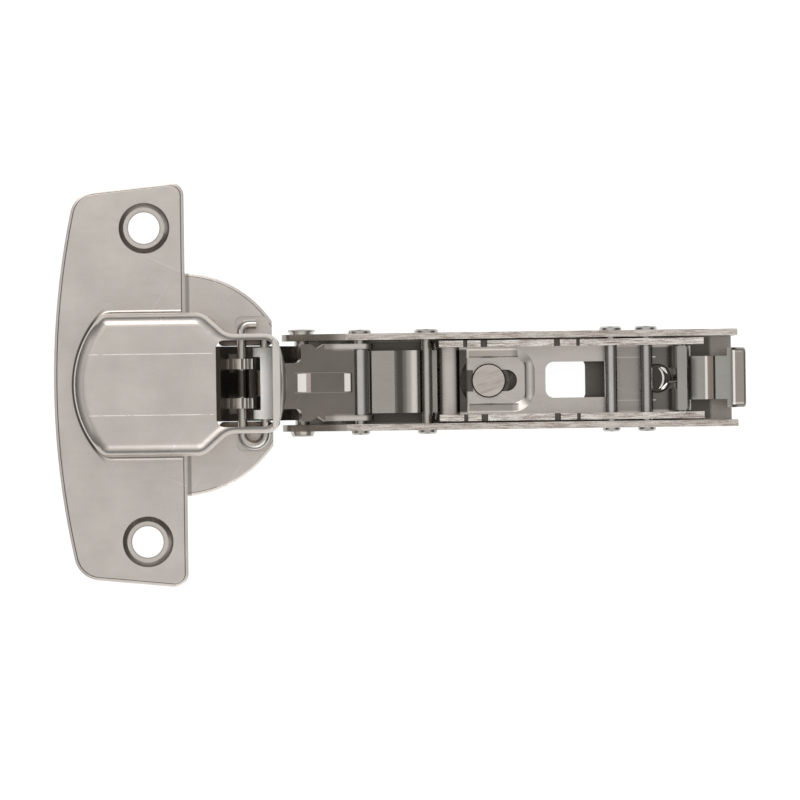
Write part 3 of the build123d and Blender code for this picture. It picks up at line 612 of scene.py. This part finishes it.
@dataclass(frozen=True)
class Patch(LightPatch):
    """A box-shaped region and its mirror image across y, in millimetres."""

    centre: Point
    half: Point

    def mask(self, wiring: Wiring, effects: Effects, vector: Socket) -> Socket:
        """Add the mask's node.

        Args:
            wiring: The material's wiring.
            effects: The shared node groups.
            vector: Object coordinates.

        Returns:
            The mask's socket.
        """
        values: dict[str, object] = {"Vector": vector, "Soft": self.soft_mm * MM}
        for letter, middle, reach in zip("XYZ", self.centre, self.half):
            values[f"Centre {letter}"] = middle * MM
            values[f"Half {letter}"] = reach * MM
        return wiring.group(effects.zone, values)["Mask"]


@dataclass(frozen=True)
class RingPatch(LightPatch):
    """A ring-shaped region round a place and its mirror image across y, in millimetres."""

    centre: tuple[float, float]
    inner: float
    outer: float
    until_x: float = 1000.0
    fade_mm: float = 1.0

    def mask(self, wiring: Wiring, effects: Effects, vector: Socket) -> Socket:
        """Add the mask's node.

        Args:
            wiring: The material's wiring.
            effects: The shared node groups.
            vector: Object coordinates.

        Returns:
            The mask's socket.
        """
        sizes = {
            "Centre X": self.centre[0],
            "Centre Y": self.centre[1],
            "Inner": self.inner,
            "Outer": self.outer,
            "Soft": self.soft_mm,
            "Until X": self.until_x,
            "Fade": self.fade_mm,
        }
        values = {key: size * MM for key, size in sizes.items()}
        return wiring.group(effects.ring, {"Vector": vector, **values})["Mask"]


@dataclass(frozen=True)
class PlatedFinish:
    """Nickel plate on sheet or turned steel."""

    name: str
    base: Color
    roughness: float
    shade: Color = linear(120, 112, 104)
    grain: float = 0.35
    clouds: float = 0.5
    pits: float = 0.25
    scratches: float = 0.5
    bump_mm: float = 0.004
    turned: Point = (0.0, 0.0, 0.0)
    edge_height_mm: float | None = None
    edge_bright: Color = EDGE_BRIGHT
    edge_burnt: Color = EDGE_BURNT
    die_lines: bool = False
    patches: tuple[Patch | RingPatch, ...] = ()

    def build(self, effects: Effects) -> bpy.types.Material:
        """Make the material.

        Args:
            effects: The shared node groups.

        Returns:
            The material.
        """
        material = new_material(self.name)
        wiring = Wiring(material.node_tree)
        place = wiring.node("TexCoord").outputs["Object"]
        turn = wiring.node("Mapping")
        turn.inputs["Rotation"].default_value = radians(self.turned)
        wiring.link(place, turn.inputs["Vector"])
        plate = {
            "Vector": turn.outputs[0],
            "Base": self.base,
            "Shade": self.shade,
            "Roughness": self.roughness,
            "Grain": self.grain,
            "Clouds": self.clouds,
            "Pits": self.pits,
            "Scratches": self.scratches,
        }
        ends = dict(wiring.group(effects.grain, plate).items())
        if self.edge_height_mm is not None:
            cut = {
                "Edge Height": self.edge_height_mm * MM,
                "Bright": self.edge_bright,
                "Burnt": self.edge_burnt,
            }
            ends.update(wiring.group(effects.edge, {"Vector": place, **ends, **cut}).items())
        if self.die_lines:
            plain = {key: ends[key] for key in ("Color", "Height")}
            ends.update(wiring.group(effects.lines, {"Vector": place, **plain}).items())
        ends["Normal"] = wiring.node("NewGeometry").outputs["Normal"]
        # Each patch mixes in its painted shade or highlight and flattens the normal.
        for patch in self.patches:
            light_inputs = {
                "Mask": patch.mask(wiring, effects, place),
                "Color": ends["Color"],
                "Tone": patch.tone,
                "Share": patch.share,
                "Normal": ends["Normal"],
                "Flat": patch.flat,
            }
            ends.update(wiring.group(effects.painted_light, light_inputs).items())
        bump = wiring.node("Bump")
        bump.inputs["Distance"].default_value = self.bump_mm * MM
        wiring.link(ends["Height"], bump.inputs["Height"])
        if self.patches:
            wiring.link(ends["Normal"], bump.inputs["Normal"])
        shader = wiring.tree.nodes["Principled BSDF"]
        results = {
            "Metallic": 1.0,
            "Base Color": ends["Color"],
            "Roughness": ends["Roughness"],
            "Normal": bump.outputs[0],
        }
        for key, value in results.items():
            wiring.feed(shader.inputs[key], value)
        return material


@dataclass(frozen=True)
class MouldedFinish:
    """Satin moulded plastic."""

    name: str
    base: Color = linear(236, 235, 232)
    roughness: float = 0.42
    bump_mm: float = 0.01

    def build(self) -> bpy.types.Material:
        """Make the material.

        Returns:
            The material.
        """
        material = new_material(self.name)
        wiring = Wiring(material.node_tree)
        noise = wiring.noise(wiring.node("TexCoord").outputs["Object"], MOULD_NOISE)
        bump = wiring.node("Bump")
        bump.inputs["Distance"].default_value = self.bump_mm * MM
        wiring.link(noise, bump.inputs["Height"])
        shader = wiring.tree.nodes["Principled BSDF"]
        results = {
            "Subsurface Weight": MOULD_GLOW_WEIGHT,
            "Subsurface Scale": MOULD_GLOW_DEPTH,
            "Base Color": wiring.mix(noise, self.base, tuple(c * MOULD_SHADE for c in self.base)),
            "Roughness": self.roughness,
            "Normal": bump.outputs[0],
        }
        for key, value in results.items():
            wiring.feed(shader.inputs[key], value)
        return material


# Patch tones: the darkest paints shade and shadow, the next paints softer shade, and the pale one paints
# highlights.
PAINTED_SHADE = linear(58, 54, 50)
PAINTED_SOFT_SHADE = linear(84, 78, 72)
PAINTED_HIGHLIGHT = linear(238, 233, 227)
BROWN = linear(152, 137, 127)

# Cup: painted shade round the screw dimples, along the rim and joggle steps and in the wall's foot; a
# painted highlight on the bow's flat. The rest only flatten the surface.
CUP_PATCHES = (
    RingPatch((-5.5, 26.0), 3.3, 4.3, tone=PAINTED_SOFT_SHADE, share=0.45, soft_mm=0.25),
    RingPatch((-5.5, 26.0), 2.5, 2.85, tone=PAINTED_SOFT_SHADE, share=0.35, soft_mm=0.1),
    Patch((-8.0, 0.0, -0.35), (14.0, 40.0, 0.31), flat=0.75, soft_mm=0.04),
    Patch((-8.0, 0.0, -0.03), (14.0, 40.0, 0.027), tone=PAINTED_SHADE, share=0.8, soft_mm=0.012),
    Patch((8.0, 0.0, -0.95), (12.0, 40.0, 0.31), flat=0.75, soft_mm=0.04),
    Patch((8.0, 0.0, -0.63), (12.0, 40.0, 0.027), tone=PAINTED_SHADE, share=0.6, soft_mm=0.012),
    Patch((16.4, 0.0, 11.2), (0.75, 7.4, 1.2), tone=PAINTED_HIGHLIGHT, share=0.3, flat=0.85, soft_mm=0.25),
    RingPatch((0.0, 0.0), 16.8, 17.9, tone=PAINTED_SHADE, share=0.92, soft_mm=0.15, until_x=-12.2, fade_mm=2.0),
    RingPatch((0.0, 0.0), 15.2, 16.9, flat=0.45, soft_mm=0.4, until_x=-12.6, fade_mm=1.5),
    Patch((1.5, 0.0, -0.6), (0.45, 18.6, 0.6), tone=PAINTED_SHADE, share=0.5, soft_mm=0.25),
)
# Cup pin: painted shade where it lies deep in the cup's mouth.
PIN_PATCHES = (Patch((10.5, 0.0, 3.0), (1.3, 2.4, 1.3), tone=PAINTED_SHADE, share=0.9, soft_mm=0.3),)
# Outer link: painted highlights on the rib's ends, along the rib's edges and on the cheeks' tops.
OUTER_LINK_PATCHES = (
    Patch((20.4, 0.0, 1.6), (0.75, 1.55, 1.6), tone=PAINTED_HIGHLIGHT, share=1.0, flat=0.95, soft_mm=0.1),
    Patch((27.9, 0.0, -1.5), (0.55, 1.55, 1.2), tone=PAINTED_HIGHLIGHT, share=0.8, flat=0.95, soft_mm=0.1),
    Patch((23.5, 1.66, 0.0), (4.4, 0.09, 4.0), tone=PAINTED_HIGHLIGHT, share=0.6, soft_mm=0.05),
    Patch((28.4, 6.0, -3.0), (3.4, 0.9, 3.0), tone=PAINTED_HIGHLIGHT, share=0.45, flat=0.4, soft_mm=0.9),
)
# Inner link: a painted highlight on the eye's top.
INNER_LINK_PATCHES = (Patch((10.6, 3.4, 3.0), (2.4, 1.7, 3.0), tone=PAINTED_HIGHLIGHT, share=0.85, soft_mm=0.3),)
# Closing spring: painted shade and a painted highlight across the leaf's bend.
LEAF_PATCHES = (
    Patch((36.9, 0.0, -4.2), (1.1, 6.0, 1.6), tone=PAINTED_SHADE, share=0.6, soft_mm=0.5),
    Patch((39.1, 0.0, -4.2), (0.9, 6.0, 1.6), tone=PAINTED_HIGHLIGHT, share=0.6, flat=0.45, soft_mm=0.6),
)
# Clip channel: painted shade beside the front roll, in and round the recess, along the wall, between the
# pins and round the depth screw. Painted highlights on a thin line by the pins and on the recess's end
# slope.
CHANNEL_PATCHES = (
    Patch((80.3, 0.0, -7.6), (2.3, 5.4, 0.9), tone=PAINTED_SHADE, share=0.75, soft_mm=0.3),
    Patch((76.0, 3.6, -7.3), (3.4, 0.1, 1.0), tone=PAINTED_HIGHLIGHT, share=0.9, soft_mm=0.05),
    Patch((45.0, 0.0, -10.2), (3.4, 5.6, 1.9), tone=PAINTED_SHADE, share=0.7, soft_mm=0.6),
    Patch((47.0, 0.0, -8.5), (1.05, 5.4, 3.0), tone=PAINTED_SHADE, share=0.9, soft_mm=0.3),
    Patch((52.2, 4.5, -8.5), (4.3, 0.75, 3.0), tone=PAINTED_SOFT_SHADE, share=0.6, soft_mm=0.3),
    Patch((48.3, 0.0, -8.5), (0.6, 1.85, 3.0), tone=PAINTED_SHADE, share=0.85, soft_mm=0.1),
    Patch((54.4, 0.0, -8.5), (0.5, 1.75, 3.0), tone=PAINTED_SHADE, share=0.8, soft_mm=0.1),
    Patch((62.0, 6.0, -3.3), (22.0, 1.0, 0.78), tone=PAINTED_SHADE, share=0.88, soft_mm=0.03),
    Patch((75.2, 0.0, -7.3), (2.7, 5.6, 1.0), tone=PAINTED_SOFT_SHADE, share=0.45, soft_mm=0.4),
    Patch((57.6, 0.0, -8.5), (0.16, 3.0, 3.0), tone=PAINTED_SHADE, share=0.8, soft_mm=0.1),
    Patch((58.4, 0.0, -8.5), (0.75, 3.6, 3.0), tone=PAINTED_HIGHLIGHT, share=0.35, flat=0.5, soft_mm=0.8),
    Patch((52.3, 3.95, -8.5), (4.2, 0.16, 3.0), tone=PAINTED_SHADE, share=0.7, soft_mm=0.1),
)
# Side screw: a painted shade ring round its head.
SIDE_SCREW_PATCHES = (RingPatch((51.44, 0.0), 2.66, 4.2, tone=PAINTED_SHADE, share=0.85, soft_mm=0.06),)
# Spiral lips: a painted highlight.
LIP_HIGHLIGHT_PATCHES = (Patch((80.0, 0.0, -7.0), (3.0, 3.0, 1.0), tone=PAINTED_HIGHLIGHT, share=0.5, flat=0.6, soft_mm=0.2),)
# Arm: painted shade on the deck deep in the channel.
ARM_PATCHES = (Patch((57.8, 0.0, -15.6), (31.4, 7.2, 1.2), tone=PAINTED_SHADE, share=0.75, soft_mm=0.5),)
# Release lever: painted shade on the roll's left side and painted highlight lines on the roll and at the end
# lip.
LEVER_PATCHES = (
    Patch((85.3, 0.0, -5.0), (0.9, 3.7, 4.0), tone=PAINTED_SHADE, share=0.55, soft_mm=0.7),
    Patch((87.6, 0.0, -5.0), (0.3, 3.7, 4.0), tone=PAINTED_HIGHLIGHT, share=0.9, flat=0.8, soft_mm=0.15),
    Patch((88.3, 0.0, -5.0), (0.6, 3.7, 4.0), tone=BROWN, share=0.9, flat=0.7, soft_mm=0.15),
    Patch((92.2, 0.0, -6.0), (0.2, 4.5, 6.0), tone=PAINTED_HIGHLIGHT, share=1.0, flat=0.8, soft_mm=0.06),
    Patch((93.4, 0.0, -6.0), (1.0, 4.5, 6.0), tone=BROWN, share=0.5, soft_mm=0.1),
)


@dataclass
class FinishBook:
    """Which finish every CAD node gets."""

    plated: dict[Node, PlatedFinish] = field(
        default_factory=lambda: {
            Node.CUP: PlatedFinish(
                "cup_plate", linear(206, 199, 192), 0.3, die_lines=True, patches=CUP_PATCHES
            ),
            Node.CUP_PIN: PlatedFinish(
                "pin_wire", linear(196, 192, 186), 0.22, clouds=0.3, patches=PIN_PATCHES
            ),
            Node.OUTER_LINK: PlatedFinish(
                "outer_link_plate", linear(184, 174, 166), 0.3, patches=OUTER_LINK_PATCHES
            ),
            Node.OUTER_SLEEVE: PlatedFinish("sleeve_turned", linear(196, 194, 190), 0.2, grain=0.5),
            # Inner link: its darker base paints the shade it lies in inside the cup.
            Node.INNER_LINK: PlatedFinish(
                "inner_link_plate", linear(130, 126, 120), 0.3, patches=INNER_LINK_PATCHES
            ),
            Node.ARM: PlatedFinish(
                "arm_plate",
                linear(166, 160, 152),
                0.28,
                edge_height_mm=-2.04,
                edge_bright=linear(212, 205, 197),
                edge_burnt=linear(146, 134, 125),
                patches=ARM_PATCHES,
            ),
            Node.INNER_RIVET: PlatedFinish("inner_rivet_turned", linear(190, 186, 178), 0.22),
            Node.OUTER_RIVET: PlatedFinish("outer_rivet_turned", linear(186, 182, 176), 0.22),
            Node.SPRING_RIVET: PlatedFinish("spring_rivet_turned", linear(190, 186, 180), 0.22),
            Node.STOP_PIN: PlatedFinish("stop_pin_turned", linear(200, 198, 194), 0.24, grain=0.6),
            Node.SWING_PIN: PlatedFinish("swing_pin_turned", linear(190, 188, 184), 0.24, grain=0.6),
            Node.LEVER_PIN: PlatedFinish("lever_pin_turned", linear(160, 156, 150), 0.28),
            Node.COLLARS: PlatedFinish("collar_plate", linear(214, 210, 204), 0.25),
            Node.CLOSING_SPRING: PlatedFinish(
                "leaf_steel", linear(166, 161, 155), 0.28, grain=0.8, patches=LEAF_PATCHES
            ),
            Node.CHANNEL: PlatedFinish(
                "channel_plate",
                linear(196, 190, 183),
                0.28,
                edge_height_mm=-2.44,
                edge_bright=linear(232, 226, 219),
                edge_burnt=linear(134, 121, 112),
                patches=CHANNEL_PATCHES,
            ),
            Node.SIDE_SCREW: PlatedFinish(
                "side_screw_faced",
                linear(198, 190, 182),
                0.3,
                grain=3.2,
                bump_mm=0.008,
                turned=(0.0, 0.0, -17.0),
                patches=SIDE_SCREW_PATCHES,
            ),
            # Depth screw: its near-black base paints the shade of the recess it sits in.
            Node.DEPTH_SCREW: PlatedFinish("depth_screw_shaded", linear(54, 52, 50), 0.26),
            Node.LEVER: PlatedFinish(
                "lever_plate", linear(160, 158, 152), 0.3, grain=0.6, patches=LEVER_PATCHES
            ),
            Node.LEVER_SPRING: PlatedFinish("coil_steel", linear(96, 93, 88), 0.42),
        }
    )
    bush: MouldedFinish = MouldedFinish("white_bush")
    # Spiral lips: a bright finish that paints highlights on the dark screw.
    spiral: PlatedFinish = PlatedFinish(
        "spiral_lip", linear(226, 222, 216), 0.2, grain=0.3, patches=LIP_HIGHLIGHT_PATCHES
    )
    mouth: PlatedFinish = PlatedFinish("mouth_lip", linear(104, 95, 88), 0.34)

    def dress(self) -> None:
        """Give every CAD node its finish and add the new pieces."""
        effects = Effects(
            plated_grain_group(),
            sheared_edge_group(),
            pressed_line_group(),
            zone_group(),
            round_zone_group(),
            painted_light_group(),
        )
        for node, finish in self.plated.items():
            self.put(node, finish.build(effects))
        self.put(Node.LINK_BUSH, self.bush.build())
        SpiralCam().build(self.spiral.build(effects))
        MouthLips().build(self.mouth.build(effects))

    @staticmethod
    def put(node: Node, material: bpy.types.Material) -> None:
        """Set one material on a CAD node.

        Args:
            node: The CAD node.
            material: Its finish.
        """
        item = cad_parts[node.value]
        if not item.material_slots:
            item.data.materials.append(material)
        for slot in item.material_slots:
            slot.material = material
        LOG.info("finish %s on %s", material.name, node.value)


def ring_angles(sides: int) -> np.ndarray:
    """Give the angles round one ring of points, as a row."""
    return np.linspace(0.0, 2.0 * np.pi, sides, endpoint=False)[None, :]


def closed_tube(name: str, rings: np.ndarray, material: bpy.types.Material, body: Body) -> None:
    """Make one smooth closed piece from a row of point rings and let it ride on a body.

    Neighbouring rings are joined by four-sided faces, and the first and last ring are capped.

    Args:
        name: The piece's name.
        rings: Points in millimetres, ring by ring.
        material: The finish.
        body: The body that carries the piece.
    """
    rows, sides = rings.shape[:2]
    faces: list[tuple[int, ...]] = []
    for row in range(rows - 1):
        for side in range(sides):
            after = (side + 1) % sides
            low, high = row * sides, (row + 1) * sides
            faces.append((low + side, high + side, high + after, low + after))
    faces.append(tuple(range(sides)))
    faces.append(tuple(reversed(range((rows - 1) * sides, rows * sides))))
    mesh = bpy.data.meshes.new(name)
    mesh.from_pydata((rings.reshape(-1, 3) * MM).tolist(), [], faces)
    mesh.polygons.foreach_set("use_smooth", [True] * len(mesh.polygons))
    mesh.materials.append(material)
    item = new_object(name, mesh)
    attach(item, body.value)
    LOG.info("piece %s with %d faces", name, len(faces))


@dataclass
class MouthLips:
    """The narrow turned-in lips at the cup's mouth, one on each side of the links, in millimetres."""

    first_x: float = 6.7
    last_x: float = 15.5
    inner_y: float = 6.27
    outer_y: float = 7.22
    middle_z: float = 1.3
    thickness: float = 0.6
    end_loss: float = 0.4
    end_power: int = 24
    corner_power: float = 0.4
    steps: int = 24
    sides: int = 20

    def build(self, material: bpy.types.Material) -> None:
        """Make both lips; each is a rounded strip whose section narrows at its ends.

        Args:
            material: The lips' finish.
        """
        share = np.linspace(0.0, 1.0, self.steps)[:, None]
        turn = ring_angles(self.sides)
        narrow = 1.0 - self.end_loss * np.abs(2.0 * share - 1.0) ** self.end_power
        across, upward = (
            np.sign(wave) * np.abs(wave) ** self.corner_power for wave in (np.cos(turn), np.sin(turn))
        )
        half = (self.outer_y - self.inner_y) / 2
        x = self.first_x + (self.last_x - self.first_x) * share
        z = self.middle_z + self.thickness / 2 * narrow * upward
        for side, name in ((1, "mouth_lip_left"), (-1, "mouth_lip_right")):
            y = side * (self.outer_y - half * narrow + half * narrow * across * side)
            rings = np.stack(np.broadcast_arrays(x, y, z), axis=-1)
            closed_tube(name, rings, material, Body.CUP)


@dataclass
class SpiralCam:
    """Raised lips of the spiral on the depth screw's head, made bright to paint the highlights along the
    spiral's edges.

    Each lip is an arc: the place of its centre along x, its radius, and its first and last angle.
    """

    top_mm: float = -6.98
    lips: tuple[tuple[float, float, float, float], ...] = (
        (78.4, 2.26, -50.0, 50.0),
        (79.6, 1.9, 24.0, 72.0),
        (79.6, 1.9, -72.0, -24.0),
    )
    tube_mm: float = 0.26
    end_share: float = 0.02
    steps: int = 40
    sides: int = 10

    def build(self, material: bpy.types.Material) -> None:
        """Make every lip as a bent tube and let it ride on the screw.

        Args:
            material: The lips' finish.
        """
        for index, lip in enumerate(self.lips, 1):
            closed_tube(f"spiral_lip_{index}", self.tube(*lip), material, Body.DEPTH_SCREW)

    def tube(self, middle: float, radius: float, first: float, last: float) -> np.ndarray:
        """Sweep a circle along an arc; it grows thin at both ends.

        Args:
            middle: Place of the arc's centre along x in millimetres.
            radius: The arc's radius in millimetres.
            first: First angle in degrees.
            last: Last angle in degrees.

        Returns:
            The rings of points in millimetres.
        """
        share = np.linspace(0.0, 1.0, self.steps)[:, None]
        angle = np.radians(first + (last - first) * share)
        girth = self.tube_mm * np.sqrt(np.clip(np.sin(np.pi * share), self.end_share, 1.0))
        turn = ring_angles(self.sides)
        reach = radius + girth * np.cos(turn)
        x = middle + reach * np.cos(angle)
        y = reach * np.sin(angle)
        z = self.top_mm + girth * np.sin(turn)
        return np.stack([x, y, z], axis=-1)


@dataclass(frozen=True)
class Lamp:
    """One square soft lamp: position and side in metres, power in watts, and whether metal mirrors it."""

    name: str
    place: Point
    size: float
    watts: float
    mirrored: bool = True

    def hang(self, aim: Point) -> None:
        """Add the lamp, facing a point.

        Args:
            aim: The point that it faces, in metres.
        """
        data = bpy.data.lights.new(self.name, "AREA")
        data.shape = "SQUARE"
        data.size = self.size
        data.energy = self.watts
        item = new_object(self.name, data)
        item.location = self.place
        item.visible_glossy = self.mirrored
        x, y, z = np.array(self.place) - np.array(aim)
        item.rotation_euler = (math.atan2(math.hypot(x, y), z), 0.0, math.atan2(y, x) + math.pi / 2)


@dataclass
class Studio:
    """Pale floor, soft lamps, plain world and the camera above.

    The sky is a grey ramp over the upward part of the ray's direction, from 0 at the horizon and below to 1
    straight up, with a brighter strip towards both sides.
    """

    floor_z_mm: float = -16.52
    floor_half_m: float = 1.6
    floor_glow: float = 0.96
    floor_tone: float = 0.14
    lamps: tuple[Lamp, ...] = (
        Lamp("lamp_key", (-0.1, 0.36, 0.5), 0.3, 0.7),
        Lamp("lamp_fill", (0.16, -0.34, 0.46), 0.34, 0.5),
        Lamp("lamp_wash", (0.22, 0.24, 0.62), 0.3, 3.4, mirrored=False),
    )
    aim: Point = (0.036, -0.002, 0.0)
    sky_ends: tuple[float, float] = (0.1, 0.84)
    sky_stops: tuple[tuple[float, float], ...] = ((0.4, 0.1), (0.66, 0.26), (0.84, 0.74), (0.93, 0.84))
    sky_strength: float = 1.03
    side_ramp: Ramp = (0.3, 0.75)
    strip_ramp: Ramp = (0.15, 0.5)
    strip_top: float = 0.55
    pixels: int = 800
    pixels_per_mm: float = 6.03
    cup_pixel: tuple[float, float] = (179.2, 384.6)
    roll_deg: float = 0.77
    distance_m: float = 0.9
    sensor_mm: float = 36.0
    clip_m: float = 10.0

    def build(self) -> None:
        """Build floor, world, lamps and camera."""
        self.floor()
        self.world()
        for lamp in self.lamps:
            lamp.hang(self.aim)
        self.camera()

    def floor(self) -> None:
        """Lay a pale floor that shows white and keeps a faint shadow."""
        half = self.floor_half_m
        z = self.floor_z_mm * MM
        corners = [(-half, -half, z), (half, -half, z), (half, half, z), (-half, half, z)]
        mesh = bpy.data.meshes.new("floor")
        mesh.from_pydata(corners, [], [(0, 1, 2, 3)])
        item = new_object("floor", mesh)
        material = new_material("floor_paper")
        wiring = Wiring(material.node_tree)
        wiring.tree.nodes.clear()
        path = wiring.node("LightPath").outputs
        seen = wiring.math("MAXIMUM", path["Is Camera Ray"], path["Is Glossy Ray"])
        glow = wiring.node("Emission")
        wiring.feed(glow.inputs["Color"], WHITE)
        wiring.feed(glow.inputs["Strength"], wiring.math("MULTIPLY", seen, self.floor_glow))
        paper = wiring.node("BsdfDiffuse")
        wiring.feed(paper.inputs["Color"], (self.floor_tone,) * 3)
        both = wiring.node("AddShader")
        wiring.link(glow.outputs[0], both.inputs[0])
        wiring.link(paper.outputs[0], both.inputs[1])
        wiring.link(both.outputs[0], wiring.node("OutputMaterial").inputs["Surface"])
        mesh.materials.append(material)

    def world(self) -> None:
        """Set a studio sky: pale overhead, greyer at the sides, white to the camera."""
        world = bpy.data.worlds.new("studio")
        bpy.context.scene.world = world
        world.use_nodes = True
        wiring = Wiring(world.node_tree)
        wiring.tree.nodes.clear()
        _, y, z = wiring.axes(wiring.node("TexCoord").outputs["Generated"])
        ramp = wiring.node("ValToRGB")
        stops = ramp.color_ramp.elements
        for stop, place, value in zip(stops, (0.0, 1.0), self.sky_ends):
            stop.position = place
            stop.color = (value, value, value, 1.0)
        for place, value in self.sky_stops:
            stops.new(place).color = (value, value, value, 1.0)
        wiring.link(z, ramp.inputs[0])
        side = wiring.above(wiring.math("ABSOLUTE", y), self.side_ramp)
        strip = wiring.math("MULTIPLY", side, wiring.above(z, self.strip_ramp, self.strip_top))
        sky = wiring.node("Background")
        sky.inputs["Strength"].default_value = self.sky_strength
        wiring.link(wiring.mix(1.0, ramp.outputs[0], strip, blend="ADD"), sky.inputs["Color"])
        white = wiring.node("Background")
        wiring.feed(white.inputs["Color"], WHITE)
        pick = wiring.node("MixShader")
        wiring.link(wiring.node("LightPath").outputs["Is Camera Ray"], pick.inputs[0])
        wiring.link(sky.outputs[0], pick.inputs[1])
        wiring.link(white.outputs[0], pick.inputs[2])
        wiring.link(pick.outputs[0], wiring.node("OutputWorld").inputs["Surface"])

    def camera(self) -> None:
        """Hang the camera straight above, rolled and framed as the photograph."""
        data = bpy.data.cameras.new("camera")
        data.sensor_width = self.sensor_mm
        data.lens = self.sensor_mm * self.distance_m / (self.pixels / self.pixels_per_mm * MM)
        data.clip_end = self.clip_m
        item = new_object("camera", data)
        roll = math.radians(-self.roll_deg)
        right = np.array((math.cos(roll), math.sin(roll)))
        up = np.array((-math.sin(roll), math.cos(roll)))
        middle = self.pixels / 2
        across = (middle - self.cup_pixel[0]) / self.pixels_per_mm * MM
        above = -(middle - self.cup_pixel[1]) / self.pixels_per_mm * MM
        place = across * right + above * up
        item.location = (place[0], place[1], self.distance_m)
        item.rotation_euler = (0.0, 0.0, roll)
        bpy.context.scene.camera = item


def main() -> None:
    """Build the studio and dress the hinge."""
    logging.basicConfig(level=logging.INFO)
    bpy.context.scene.view_settings.view_transform = "Standard"
    Studio().build()
    FinishBook().dress()


if __name__ == "__main__":
    main()
